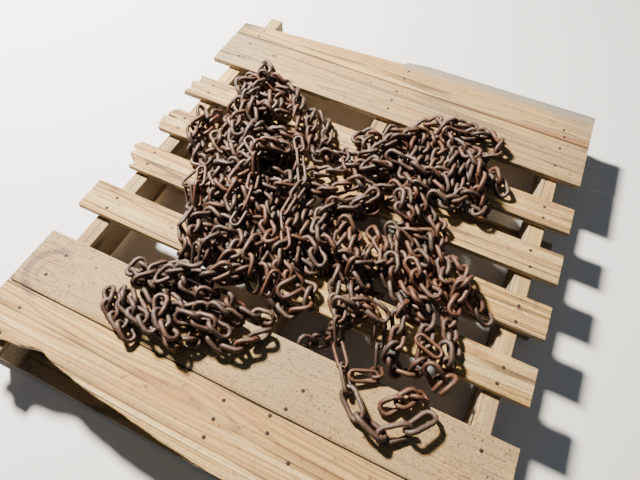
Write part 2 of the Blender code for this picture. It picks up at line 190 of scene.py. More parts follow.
def pineFinish(name, along):
    f = Finish(name, 0.82)
    grain, place = f.read("grain", "Vector"), f.place()
    wide, deep = f.parts(grain)[1:]
    x, y = f.parts(place)[:2]

    # how far away the nearest of some round places is, as a multiple of its radius
    def away(spots):
        least = None
        for cx, cy, radius in spots:
            dx, dy = (x - cx, y - cy) if along == 0 else (y - cx, x - cy)
            far = ((dx * 0.7) ** 2.0 + dy ** 2.0).root() / radius
            least = far if least is None else least.math("MINIMUM", least, far)
        return least

    # noise drawn out along the grain, by how fast it changes along, across and through the board
    def drawn(paces, detail, rough=0.55, start=0.0):
        return f.noise(f.stretched(grain, paces, (start, 0.0, 0.0)), 1.0, detail, rough)

    # rings: distance from the log's heart, bent slowly along the board and round knots, as even bands
    swirl, knotty = away(pine["swirls"]), away(pine["knots"])
    wander = drawn((1.1, 3.0, 3.0), 2.0) - 0.5
    side, below = wide + wander * 0.050, deep + pine["heartDepth"] + wander * 0.060
    pull = (1.0 - swirl.between(0.0, 2.6)) * 0.020 + (1.0 - knotty.between(0.6, 3.2)) * 0.004
    ring = ((side ** 2.0 + below ** 2.0).root() + pull) / pine["ringGap"]
    uneven = drawn((3.0, 60.0, 60.0), 3.0) * 0.6
    late = ((((ring + uneven) * (2 * np.pi)).sine() * 0.5 + 0.5) ** 2.6) * 0.85
    fibre = drawn((9.0, 420.0, 420.0), 5.0, 0.6)
    f.palette, f.colour = pine, f.mixed(late, pine["early"], pine["late"])
    f.cover(fibre - 0.32, "late")
    # warm and pale streaks, stains, the grey of old wood with painted shade on the board sides, and dust
    # and dirt
    dusty = f.value("dusty")
    warm = drawn((2.6, 17.0, 17.0), 3.0, 0.6, 4.0)
    f.cover(warm.between(0.50, 0.72) * (1.0 - dusty) * 0.7, "warm")
    streak = drawn((0.9, 75.0, 60.0), 4.0, 0.6, 9.0)
    f.cover(streak.between(0.48, 0.64) * (0.8 - dusty * 0.5), "pale")
    f.cover((1.0 - streak.between(0.33, 0.46)) * (0.7 - dusty * 0.4), "stain")
    f.cover(drawn((1.6, 6.0, 6.0), 4.0, 0.65).between(0.46, 0.74) * 0.6, "stain")
    weather = drawn((2.2, 14.0, 14.0), 5.0, 0.6)
    # the grey of old wood also covers the side faces by their slope: painted shade on the board sides,
    # added to the weathering
    ends, sideShade = f.value("ends"), 1.0 - f.up().size().between(0.3, 0.8)
    greyingAndSideShade = (weather + f.value("tone") * 0.55 + ends * 0.10 + sideShade * 0.35 - 0.25).between(0.42, 0.74)
    f.cover(greyingAndSideShade * 0.8, "grey")
    f.cover(f.noise(place, 9.0, 5.0, 0.65).between(0.34, 0.62) * dusty, "dust")
    grit = f.noise(place, 420.0, 3.0, 0.7)
    f.cover(grit.between(0.47, 0.63) * (dusty * 0.80 + 0.15), "stain")
    soil = f.noise(place, 55.0, 4.0, 0.7)
    f.cover(soil.between(0.56, 0.74) * 0.6, "dark")
    specks = f.noise(place, 260.0, 2.0, 0.5)
    f.cover(specks.between(0.62, 0.69) * (0.25 + dusty * 0.7), "dark")
    # cracks run along the grain: short ones at the ends, and a few long hair lines
    crack = drawn((1.6, 130.0, 60.0), 2.0, 0.5).near(0.5, 0.002, 0.012) * ends.between(0.15, 0.85)
    hair = drawn((0.55, 17.0, 9.0), 1.0, 0.4)
    lines = hair.near(0.44, 0.004, 0.018) + hair.near(0.56, 0.004, 0.018)
    crack = crack + lines * weather.between(0.34, 0.50) * (1.0 - dusty * 0.8)
    f.cover(crack * 0.85, "dark")
    # knots with their rims
    f.cover((1.0 - knotty.between(0.55, 1.10)) * 0.9, "knot")
    f.cover(knotty.near(1.0, 0.02, 0.30) * 0.6, "stain")
    # the arches round the swirl at the front left: a wide one and a thin one, open to the right
    cx, cy, reach = pine["archPlace"]
    far = ((x - cx) ** 2.0 + (y - cy) ** 2.0).root() / reach
    arch = far.near(1.0, 0.05, 0.24) * 0.85 + far.near(0.56, 0.01, 0.09) * 0.6
    arch = arch * soil.between(0.15, 0.50) * (1.0 - ((x - cx) / reach).between(-0.25, 0.35))
    f.cover(arch, "arch")
    # bark and weathered edge of the last board, painted shade in the narrow seams between close boards,
    # and sawn ends
    f.cover(f.value("wane").between(0.0, 0.3) * (0.45 + streak * 0.8), "wane")
    f.cover(f.value("silver").between(0.0, 0.6) * (0.25 + streak), "silver")
    # painted shade: a dark line along the seam, standing in for the shadow in the narrow gap between close
    # boards
    f.cover(f.value("seam") * 0.92, "dark")
    cutRing = ((wide ** 2.0 + (deep + 0.02) ** 2.0).root() * pine["cutPace"]).sine() * 0.5 + 0.5
    cut = f.mixed(cutRing * 0.6 + soil * 0.3, pine["cutPale"], pine["cutDark"])
    f.coloured(f.mixed(f.value("sawn"), f.colour, cut))
    f.bumped(fibre * 0.6 + late * 0.35 - crack * 1.6 + soil * 0.25 + grit * dusty * 1.2, 0.6, 0.0010)
    return f.material


# Rust: tan scale, orange bloom, grey mill scale and dark pits, and dust with a painted highlight on what
# faces up
rust = {
    "dark": rgb(0.012, 0.007, 0.005), "tan": rgb(0.062, 0.029, 0.018), "orange": rgb(0.125, 0.038, 0.013),
    "grey": rgb(0.066, 0.043, 0.033), "purple": rgb(0.046, 0.025, 0.023), "dust": rgb(0.205, 0.112, 0.066),
    "lobe": (-0.200, -0.390, 0.200),
}


def rustFinish(name, dusty, black, rough):
    f = Finish(name, rough, 0.10)
    place, tone = f.place(), f.value("tone")
    x, y = f.parts(place)[:2]
    bloom = f.noise(place, 60.0, 5.0, 0.6)
    scale = f.noise(place, 210.0, 5.0, 0.65)
    pits = f.noise(place, 620.0, 3.0, 0.6)
    f.palette = rust
    f.colour = f.mixed((tone * 1.25 + bloom - 0.75).between(0.0, 1.0), rust["tan"], rust["grey"])
    f.cover(((1.0 - tone) * 0.8 + scale - 0.55).between(0.28, 0.80) * 0.75, "orange")
    cx, cy, reach = rust["lobe"]
    lobe = 1.0 - (((x - cx) ** 2.0 + ((y - cy) * 2.0) ** 2.0).root() / reach).between(0.6, 1.1)
    f.cover(lobe * 0.55, "purple")
    # dust on the sides that face up, which also paints a highlight where the key light falls from above
    f.cover((f.up() * 0.8 + scale - 0.6).between(0.2, 0.9) * dusty, "dust")
    f.cover(pits.between(0.50, 0.80) * 0.75, "dark")
    f.cover((1.0 - bloom.between(0.30, 0.52)) * 0.55, "dark")
    f.cover(black, "dark")
    f.coloured(f.colour)
    f.feed(f.shader.inputs["Roughness"], scale * 0.34 + rough)
    f.bumped(scale + pits * 0.6, 0.7, 0.0007)
    return f.material


pineDeck = pineFinish("weathered_pine_deck", 0)
pineRail = pineFinish("weathered_pine_rail", 1)
# 0.45: how much dust and painted highlight cover the links' upper sides
rustIron = rustFinish("rusty_iron_links", 0.45, 0.0, 0.36)
rustNails = rustFinish("rusty_iron_nails", 0.0, 0.75, 0.66)
print("finishes made")


# A piece of the root body: a mesh from corners, arrays of faces, and numbers or vectors at its points
def piece(name, corners, faces, finish, values):
    mesh = bpy.data.meshes.new(name)
    mesh.vertices.add(len(corners))
    mesh.vertices.foreach_set("co", np.asarray(corners, dtype=np.float32).ravel())
    total = np.concatenate([np.full(len(group), group.shape[1]) for group in faces])
    mesh.loops.add(int(total.sum()))
    mesh.loops.foreach_set("vertex_index", np.concatenate([group.ravel() for group in faces]))
    mesh.polygons.add(len(total))
    mesh.polygons.foreach_set("loop_start", np.concatenate([[0], np.cumsum(total)[:-1]]))
    mesh.polygons.foreach_set("loop_total", total)
    mesh.polygons.foreach_set("use_smooth", np.full(len(total), True))
    for key, data in values.items():
        kind, field = ("FLOAT", "value") if data.ndim == 1 else ("FLOAT_VECTOR", "vector")
        made = mesh.attributes.new(key, kind, "POINT")
        made.data.foreach_set(field, data.astype(np.float32).ravel())
    mesh.update(calc_edges=True)
    mesh.validate()
    mesh.materials.append(finish)
    made = added(name, mesh)
    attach(made, "root")
    return made


# faces of a tube: rings of points, each joined to the next, and the last to the first where it's closed
def tubeFaces(rings, sides, closed=False):
    i, j = np.meshgrid(np.arange(rings if closed else rings - 1), np.arange(sides), indexing="ij")
    nextI, nextJ = (i + 1) % rings * sides, (j + 1) % sides
    return np.stack([i * sides + j, nextI + j, nextI + nextJ, i * sides + nextJ], axis=-1).reshape(-1, 4)


# Smooth noise of two arrays: a sum of sines whose directions and phases come from a seed
def ripple(a, b, seed):
    chance, waves = np.random.default_rng(seed), 7
    turn, phase = chance.uniform(0, 2 * np.pi, waves), chance.uniform(0, 2 * np.pi, waves)
    pace = chance.uniform(0.6, 2.4, waves)
    total = np.zeros(np.broadcast(a, b).shape)
    for t, p, k in zip(turn, phase, pace):
        total = total + np.sin(k * (a * np.cos(t) + b * np.sin(t)) + p)
    return total / waves


# dents of a worn or broken edge, up to about a depth
def dents(a, b, seed, depth):
    return np.abs(ripple(a, b, seed)) * depth


# The boards. Broken ends are (share of the break's length, share of the width), near corner last;
# splinters and wear are depths in metres, large and fine
boards = {
    "stations": 64, "lines": 30, "edgeRound": 0.0022, "relief": 0.0005, "splitReach": 0.16,
    "sharpAngle": 42, "edgeDrop": 0.8, "splinters": (0.016, 0.006), "endWear": (0.0012, 0.0010),
    "edgeWear": (0.0009, 0.0005), "wedgeWear": 0.0015, "biteWear": 0.004, "biteDepth": 0.045,
    "bite": [(0.0, 0.55), (0.045, 0.45), (0.081, 0.62), (0.121, 0.72), (0.167, 1.0), (0.207, 0.75),
             (0.285, 0.48), (0.369, 0.34), (0.464, 0.13), (0.560, 0.0)],
    "breaks": {
        "deck_board_4": (0.035, [(0.3, 1), (0, 0.72), (0.5, 0.62), (0.15, 0.45), (1, 0.2), (0.8, 0)]),
        "deck_board_5": (0.060, [(0.45, 1), (0.1, 0.66), (1, 0.60), (0, 0.54), (0.15, 0.25), (0.3, 0)]),
        "deck_board_6": (0.030, [(0.2, 1), (0.6, 0.7), (0, 0.55), (0.25, 0.3), (0, 0)]),
    },
    "wedgeNarrow": 0.050, "stepWidths": (0.096, 0.108, 0.118), "stepPlaces": (-0.012, -0.004, 0.045),
    "deckTones": [0.15, 0.40, 0.20, 0.15, 0.20, 0.25, 0.45, 0.35],
    "tones": {"bottom": 0.85, "stringer": 0.55}, "usualDust": 0.30,
    "dusty": {"deck_board_1": 0.15, "deck_board_2": 0.90, "deck_board_7": 0.60},
    "seams": {"deck_board_1": 1, "deck_board_2": 0, "deck_board_7": 1, "deck_board_8": 0},
    "seamReach": 0.0016, "waneStart": 0.56, "waneWidth": 0.026, "silverWidth": 0.045, "seed": 11,
    "seedStep": 31,
}


# One board. Lines run along it, round a section of shares (s across, t up); a point is at
# low + (start(s, t) + u * (stop(s, t) - start(s, t)), near(x) + s * (far(x) - near(x)), t * thick),
# less the edges' rounding, the wear and the grain's relief
def board(name, seed, finish, axis):
    low, high = (np.array(corner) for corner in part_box(name))
    length, width, thick = (high - low)[[axis, 1 - axis, 2]]
    r = boards["edgeRound"]
    inner = np.linspace(r / width, 1 - r / width, boards["lines"])
    s = np.concatenate([[0, 0.3 * r / width], inner, [1 - 0.3 * r / width, 1]])
    n = len(s)
    sides = np.array([1 - r / thick, r / thick])
    s = np.concatenate([s, np.ones(2), s[::-1], np.zeros(2)])
    t = np.concatenate([np.ones(n), sides, np.zeros(n), sides[::-1]])
    u = np.linspace(0, 1, boards["stations"])
    if name in boards["breaks"]:
        depth, shape = boards["breaks"][name]
        shape = np.array(shape)[::-1]
        start = np.interp(s, shape[:, 1], shape[:, 0]) * depth
        start = start + dents(s * 60, t * 2.5, seed + 3, boards["splinters"][0])
        start = start + dents(s * 200, t * 6, seed + 4, boards["splinters"][1])
    else:
        start = dents(s * 12, t * 2, seed + 5, boards["endWear"][0])
    stop = length - dents(s * 9, t * 2, seed + 6, boards["endWear"][1])
    x = start + u[:, None] * (stop - start)
    near, far = np.zeros(x.shape), np.full(x.shape, width)
    if name == "deck_board_1":
        bite = np.array(boards["bite"])
        near = np.interp(x, bite[:, 0], bite[:, 1]) * boards["biteDepth"]
        near = near + np.where(x < bite[-1, 0], dents(x * 160, t * 4, seed + 9, boards["biteWear"]), 0)
    if name == "deck_board_8":
        widths = [boards["wedgeNarrow"], *boards["stepWidths"], width]
        places = [0, *(np.array(boards["stepPlaces"]) + length / 2), length]
        far = np.interp(x, places, widths) - dents(x * 120, t * 4, seed + 9, boards["wedgeWear"])
    y = near + s * (far - near)
    drop = np.clip(1 - np.minimum(s, 1 - s) * width / r, 0, 1) ** 2 * r * boards["edgeDrop"]
    lines = ripple(x * 5 + 3 * np.sin(y * 40 + seed), y * 700, seed + 1) + ripple(x * 2, y * 260, seed + 2)
    drop = drop + boards["relief"] * np.clip(0.5 + 0.5 * lines, 0, 1.2)
    z = t * thick - np.where(t == 1, drop, 0) + np.where(t == 0, drop, 0)
    wear = dents(x * 14, t * 3, seed + 7, boards["edgeWear"][0])
    wear = wear + dents(x * 90, t * 5, seed + 8, boards["edgeWear"][1])
    y = y + np.where(s == 0, wear, 0) - np.where(s == 1, wear, 0)
    corners = np.zeros((*x.shape, 3))
    corners[..., axis], corners[..., 1 - axis] = low[axis] + x, low[1 - axis] + y
    corners[..., 2] = low[2] + z
    skin = tubeFaces(*x.shape)
    top, bottom = np.arange(n), 2 * n + 1 - np.arange(n)
    cap = np.stack([top[:-1], top[1:], bottom[1:], bottom[:-1]], axis=-1)
    cap = np.vstack([cap, [[n - 1, n, n + 1, n + 2]], [[2 * n + 1, 2 * n + 2, 2 * n + 3, 0]]])
    faces = np.vstack([skin, cap, cap[:, ::-1] + x.size - x.shape[1]])
    if axis == 1:
        faces = faces[:, ::-1]
    chance = np.random.default_rng(seed)
    heart = chance.uniform(-0.05, 0.05), chance.uniform(0.0, 0.05)
    grain = np.stack([x + seed * 1.7, y - width / 2 + heart[0], z + heart[1]], axis=-1).reshape(-1, 3)
    toEnd = 1 - np.minimum(x - start, stop - x) / boards["splitReach"]
    kind = name.split("_")[0]
    tone = boards["deckTones"][int(name[-1]) - 1] if kind == "deck" else boards["tones"][kind]
    dusty = boards["dusty"].get(name, boards["usualDust"])
    # painted shade for the seam: strongest at the edge that meets a close board, fading over a couple of
    # millimetres
    toSeam = np.abs(s - boards["seams"].get(name, np.inf)) * width
    seam = np.broadcast_to(np.exp(-toSeam / boards["seamReach"]), x.shape)
    wane, silver = np.zeros(x.shape), np.zeros(x.shape)
    if name == "deck_board_8":
        share = np.clip((x / length - boards["waneStart"]) / (1 - boards["waneStart"]), 0.001, 1)
        wane = np.clip(1 - s * (far - near) / (boards["waneWidth"] * share), 0, 1)
        silver = np.clip(1 - (far - y) / boards["silverWidth"], 0, 1)
        silver = silver * (x > length / 2 + boards["stepPlaces"][0])
    values = {"tone": np.full(x.size, tone), "dusty": np.full(x.size, dusty), "seam": seam.ravel(),
              "ends": np.clip(toEnd, 0, 1).ravel(), "wane": wane.ravel(), "silver": silver.ravel(),
              "grain": grain}
    made = piece(name.replace("board", "plank") + "_worn", corners.reshape(-1, 3), [faces], finish,
                 values)
    sawn = np.concatenate([np.zeros(len(skin)), np.ones(2 * len(cap))])
    made.data.attributes.new("sawn", "FLOAT", "FACE").data.foreach_set("value", sawn.astype(np.float32))
    made.data.set_sharp_from_angle(angle=np.radians(boards["sharpAngle"]))
    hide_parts(name)


for place, name in enumerate(sorted(nodes)):
    if "board" in name:
        board(name, boards["seed"] + place * boards["seedStep"], pineDeck, 0)
    elif "stringer" in name:
        board(name, boards["seed"] + place * boards["seedStep"], pineRail, 1)
print("boards made")


# Nail heads, where the photo shows them and on the lines of the outer stringers. A head is a disc
# of rings: (r cos a, r sin a, height * cos(90 degrees * r / radius))
nails = {
    "seed": 5, "radius": 0.0042, "height": 0.0009, "rings": 4, "sides": 14, "wander": 0.006,
    "sink": 0.0006, "pressed": 0.0004,
    "places": [(0.003, 0.550), (0.002, 0.514), (0.001, 0.453), (0.001, 0.413), (0.003, 0.377),
               (0.132, -0.413), (0.118, -0.457), (0.097, -0.480), (0.107, -0.509), (0.164, -0.537),
               (0.006, -0.493), (0.006, -0.530), (0.007, -0.564)],
    "across": [-0.465, 0.465], "share": [0.25, 0.72],
}


def nailHeads():
    chance = np.random.default_rng(nails["seed"])
    places = []
    for name in sorted(nodes):
        if name.startswith("deck_board"):
            low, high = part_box(name)
            wide = boards["wedgeNarrow"] if name == "deck_board_8" else high.y - low.y
            places += [(x, low.y + wide * share) for x in nails["across"] for share in nails["share"]]
    places = np.array(places) + chance.uniform(-1, 1, (len(places), 2)) * nails["wander"]
    places = np.vstack([nails["places"], places])
    m, k = nails["rings"], nails["sides"]
    ring, side = np.meshgrid(np.arange(1, m + 1) / m, np.arange(k), indexing="ij")
    turn = side * 2 * np.pi / k
    reach = np.sin(ring * np.pi / 2) * nails["radius"]
    rise = np.cos(ring * np.pi / 2) * nails["height"]
    head = np.stack([reach * np.cos(turn), reach * np.sin(turn), rise], axis=-1)
    head = np.vstack([[[0, 0, nails["height"]]], head.reshape(-1, 3), [[0, 0, -nails["sink"]]]])
    spot = np.arange(k)
    nextSpot = (spot + 1) % k
    rim, foot = 1 + (m - 1) * k, 1 + m * k
    fan = np.column_stack([np.zeros(k, int), 1 + spot, 1 + nextSpot])
    under = np.column_stack([np.full(k, foot), rim + nextSpot, rim + spot])
    band = tubeFaces(m, k) + 1
    corners = places[:, None] + head[None, :, :2]
    height = np.broadcast_to(head[:, 2] + deckTop - nails["pressed"], corners.shape[:2])
    corners = np.concatenate([corners, height[..., None]], axis=-1).reshape(-1, 3)
    steps = np.arange(len(places))[:, None, None] * len(head)
    faces = [(band + steps).reshape(-1, 4), (np.vstack([fan, under]) + steps).reshape(-1, 3)]
    tone = np.repeat(chance.uniform(0.2, 0.9, len(places)), len(head))
    piece("nail_heads", corners, faces, rustNails, {"tone": tone})


nailHeads()
print("nails made")


# The heap. Kinds of link in metres, with the lean of each end and the gap cut in one bend, in degrees.
# Lobes and routes are seen from above and in millimetres. Routes come the lowest first, as name, kind,
# turn of the first link and points
heap = {
    "seed": 7,
    "kinds": {
        "thick": {"length": 0.058, "width": 0.037, "rod": 0.011, "lean": 36, "roll": -30, "gap": 0},
        "slim": {"length": 0.067, "width": 0.029, "rod": 0.008, "lean": 0, "roll": 90, "gap": 0},
        "long": {"length": 0.076, "width": 0.040, "rod": 0.011, "lean": 15, "roll": 75, "gap": 0},
        "cut": {"length": 0.074, "width": 0.040, "rod": 0.011, "lean": 8, "roll": 75, "gap": 130},
    },
    # the hidden middle: the lobes of each core, as centre, half length, half width, height and turn
    "lobes": {
        "left": [(-315, 268, 130, 85, 80, -65), (-230, 110, 120, 90, 75, -68),
            (-120, 190, 110, 50, 45, -58), (-365, 90, 95, 55, 55, -65), (-190, -30, 140, 100, 70, -72),
            (-110, -160, 110, 90, 55, -60), (-250, -110, 95, 55, 45, -65), (-185, -200, 70, 60, 36, -20)],
        "right": [(0, -80, 135, 80, 45, -65), (10, -210, 100, 60, 36, -20), (150, 215, 185, 115, 75, 32),
            (240, 350, 95, 70, 45, 40), (110, 315, 110, 50, 45, 30), (295, 215, 115, 60, 45, -60),
            (10, 80, 110, 85, 50, 25), (210, 80, 90, 70, 45, -30)],
        "front_right": [(240, -60, 130, 90, 50, -45), (300, -200, 100, 70, 40, -60),
            (130, -170, 90, 60, 36, -40), (110, -60, 80, 55, 36, -50)],
        "front_left": [(-190, -375, 130, 58, 45, -8), (-165, -260, 100, 60, 36, -80)],
    },
    # how runs are laid: gaps, heights and steps in metres, turns in degrees, and shares
    "runGap": 0.043, "firstLayer": 0.013, "layerGap": 0.028, "layerTurns": [0, 70, 25, -40],
    "runWander": 0.010, "crown": 0.020, "reach": 0.45, "rise": 0.011, "lift": 0.016, "uneven": 15,
    "tight": 0.95, "coreTight": 0.93, "tipShare": 0.15, "pointGap": 0.045, "routeStep": 0.005,
    "fineness": 24, "window": 15, "gridHalf": (0.56, 0.64), "gridStep": 0.004,
    "joins": [("front_drop_left", "front_loop")],
}
strands = [
    ("edge_left", "thick", 40, [(-325, -400), (-290, -440), (-250, -452), (-190, -455)]),
    ("front_left", "thick", 45, [(-105, -380), (-60, -408), (-12, -401), (6, -368), (45, -335)]),
    ("front_ring", "thick", 50, [(74, -345), (98, -318), (122, -288), (150, -255), (160, -220)]),
    ("front_loop", "long", 40, [(214, -388), (235, -415), (271, -438), (310, -420), (340, -390),
     (353, -350), (345, -317)]),
    ("front_drop_left", "slim", 60, [(135, -205), (150, -240), (165, -293), (188, -345), (210, -390)]),
    ("front_drop_right", "slim", 30, [(195, -220), (218, -251), (256, -298), (266, -326), (235, -358),
     (208, -382)]),
    ("right_outlier", "thick", 45, [(330, -90), (385, -110), (440, -112)]),
    ("right_tail", "thick", 35, [(340, -195), (360, -235), (370, -275), (372, -310)]),
    ("right_edge", "thick", 45, [(345, -60), (335, -110), (330, -150), (315, -190)]),
    ("lobe_back", "thick", 45, [(-285, -375), (-270, -340), (-230, -305), (-185, -295)]),
    ("lobe_front", "thick", 40, [(-300, -398), (-250, -418), (-200, -425), (-140, -428)]),
    ("lobe_middle", "thick", 50, [(-250, -385), (-200, -385), (-140, -385), (-90, -355), (-50, -310)]),
    ("lobe_bridge", "thick", 45, [(-160, -320), (-130, -270), (-105, -225), (-85, -180)]),
    ("slim_left", "slim", 20, [(-320, -20), (-300, -80), (-285, -140), (-245, -200), (-200, -245)]),
    ("tangle_front", "thick", 45, [(120, -235), (165, -228), (200, -205), (205, -165)]),
    ("tangle_left", "thick", 35, [(110, -50), (112, -100), (125, -145), (150, -190)]),
    ("tangle_middle", "thick", 40, [(185, -80), (215, -125), (250, -160), (265, -205)]),
    ("tangle_right", "thick", 45, [(175, 5), (225, 10), (265, -15), (305, -70), (285, -130)]),
    ("bump_left", "thick", 45, [(-405, 135), (-395, 70), (-370, 15), (-320, -20), (-260, -35)]),
    ("bump_top", "thick", 30, [(-340, 80), (-310, 40), (-255, 10), (-200, -5)]),
    ("mound_left", "thick", 45, [(-335, 280), (-340, 230), (-330, 175), (-300, 110), (-265, 40)]),
    ("mound_top", "thick", 40, [(-365, 325), (-325, 310), (-270, 265), (-220, 215), (-180, 185),
     (-145, 130)]),
    ("mound_middle", "thick", 50, [(-290, 205), (-265, 120), (-245, 60), (-220, 5), (-215, -60),
     (-210, -115), (-200, -175)]),
    ("slim_middle", "slim", 35, [(-235, 45), (-195, -20), (-165, -85), (-150, -140), (-160, -185)]),
    ("slim_right", "slim", 50, [(-160, 130), (-120, 75), (-90, 25), (-70, -40), (-50, -115),
     (-35, -190)]),
    ("hollow_middle", "thick", 45, [(-15, 0), (0, -50), (15, -110), (40, -160)]),
    ("hollow_back", "slim", 40, [(-35, 155), (-15, 95), (5, 35)]),
    ("right_front", "thick", 40, [(-10, 0), (35, 40), (80, 80), (120, 120), (150, 85), (185, 40)]),
    ("right_low", "thick", 45, [(190, 110), (235, 105), (275, 135), (300, 170)]),
    ("right_back", "thick", 45, [(10, 140), (45, 180), (75, 235), (110, 290), (150, 320)]),
    ("right_fall", "thick", 35, [(175, 320), (225, 285), (280, 225), (315, 170), (328, 110)]),
    ("right_corner", "thick", 45, [(180, 285), (205, 325), (245, 350), (285, 400)]),
    ("right_top", "thick", 40, [(70, 180), (120, 180), (160, 175), (200, 165), (240, 125)]),
]
# more of what shows, which belongs to the middles
extras = [
    ("front_left", "slim", 0, [(-190, -235), (-185, -275), (-185, -305)]),
    ("front_left", "thick", 0, [(-125, -235), (-135, -260), (-150, -300)]),
    ("front_left", "thick", 20, [(-230, -360), (-185, -320), (-145, -285)]),
    ("front_left", "thick", 70, [(-205, -375), (-155, -415), (-105, -425)]),
    ("front_left", "thick", 45, [(-150, -395), (-112, -385), (-70, -385), (-45, -400)]),
    ("front_left", "thick", 30, [(-140, -362), (-95, -348), (-53, -338), (-10, -340), (18, -322)]),
    ("front_left", "thick", 60, [(-110, -360), (-60, -362), (-15, -372)]),
    ("left", "thick", 10, [(-110, -165), (-95, -240), (-50, -260)]),
    ("left", "slim", 10, [(-35, -210), (-5, -270)]),
    ("left", "slim", 30, [(-300, -45), (-285, -90), (-265, -150)]),
    ("left", "thick", 60, [(-220, 15), (-190, 55), (-140, 55)]),
    ("left", "thick", 60, [(-125, -95), (-95, -140), (-85, -210)]),
    ("right", "thick", 60, [(5, 0), (45, 40), (85, 75)]),
    ("right", "thick", 0, [(30, 90), (55, 105), (100, 155)]),
    ("right", "thick", 0, [(145, 95), (155, 60), (220, 30)]),
    ("front_right", "thick", 0, [(175, -25), (230, -45), (275, -80)]),
    ("front_right", "thick", 0, [(210, -80), (265, -105), (300, -140)]),
    ("front_right", "slim", 0, [(305, -225), (335, -220), (380, -230)]),
    ("front_right", "thick", 40, [(283, -386), (309, -374), (325, -350), (343, -308)]),
    ("left", "cut", 10, [(5, -240), (74, -206)]),
    ("front_right", "cut", 5, [(213, -213), (142, -221)]),
    ("front_right", "cut", 20, [(336, -237), (377, -278)]),
    ("front_right", "cut", 70, [(382, -254), (353, -312)]),
]


# How the links fall: they swell from thin wires, then sink a little each step and are pushed clear of
# what they touch, with friction; in the last, calm steps they sink ten times more slowly
fall = {
    "swell": 50, "sink": 200, "calm": 160, "drop": 0.0005, "calmDrop": 0.1, "thin": 0.4, "passes": 20,
    "relax": 1.5, "rub": 0.45, "slack": 0.005, "open": 62, "openPace": 0.25, "openMost": 0.3,
    "leanShare": 0.62, "reach": 0.0015, "push": 0.0012, "move": 0.003, "turn": 0.12, "pairEvery": 5,
    "pairReach": 0.080, "pairSlack": 0.005, "bulge": 1.08, "seat": 0.035, "inertia": 0.30,
    "lastWidth": 0.09,
}
kindNames = list(heap["kinds"])


def unit(vectors):
    return vectors / np.maximum(np.linalg.norm(vectors, axis=-1), 1e-9)[..., None]


def rowDot(a, b):
    return np.einsum("ij,ij->i", a, b)


# A link's middle line at angles a round it: two half circles of radius b, moved apart by the straight
# part, (b cos a +- straight, b sin a), and leant about its length by lean * x / (length / 2)
def linkLine(kind, turns, swell):
    k = heap["kinds"][kind]
    bend, straight = (k["width"] - k["rod"]) / 2, (k["length"] - k["width"]) / 2
    side = np.where(np.arange(len(turns)) < len(turns) / 2, 1, -1)
    x = bend * swell * np.cos(turns) + straight * side
    y = bend * swell * np.sin(turns)
    lean = np.radians(k["lean"]) * x / (k["length"] / 2)
    return np.stack([x, y * np.cos(lean), y * np.sin(lean)], axis=1)


# a smooth curve through points (Catmull-Rom), at even steps along it
def smoothRoute(points):
    c = np.vstack([points[:1], points, points[-1:]])
    s = np.linspace(0, 1, heap["fineness"], endpoint=False)[:, None]
    a, b, d, e = c[:-3, None], c[1:-2, None], c[2:-1, None], c[3:, None]
    curve = b + 0.5 * s * ((d - a) + s * ((2 * a - 5 * b + 4 * d - e) + s * (3 * (b - d) + e - a)))
    curve = np.vstack([curve.reshape(-1, 2), points[-1:]])
    travel = np.concatenate([[0], np.cumsum(np.linalg.norm(np.diff(curve, axis=0), axis=1))])
    marks = np.linspace(0, travel[-1], max(int(travel[-1] / heap["routeStep"]), 2))
    return np.stack([np.interp(marks, travel, curve[:, axis]) for axis in range(2)], axis=1)


# places a pitch apart along a path
def paced(path, pitch):
    places, start = [path[0]], 0
    while True:
        away = np.linalg.norm(path[start:] - places[-1], axis=1)
        beyond = np.flatnonzero(away >= pitch)
        if not len(beyond):
            return np.array(places)
        j = beyond[0]
        share = np.clip((pitch - away[j - 1]) / max(away[j] - away[j - 1], 1e-9), 0, 1)
        places.append(path[start + j - 1] + (path[start + j] - path[start + j - 1]) * share)
        start += j


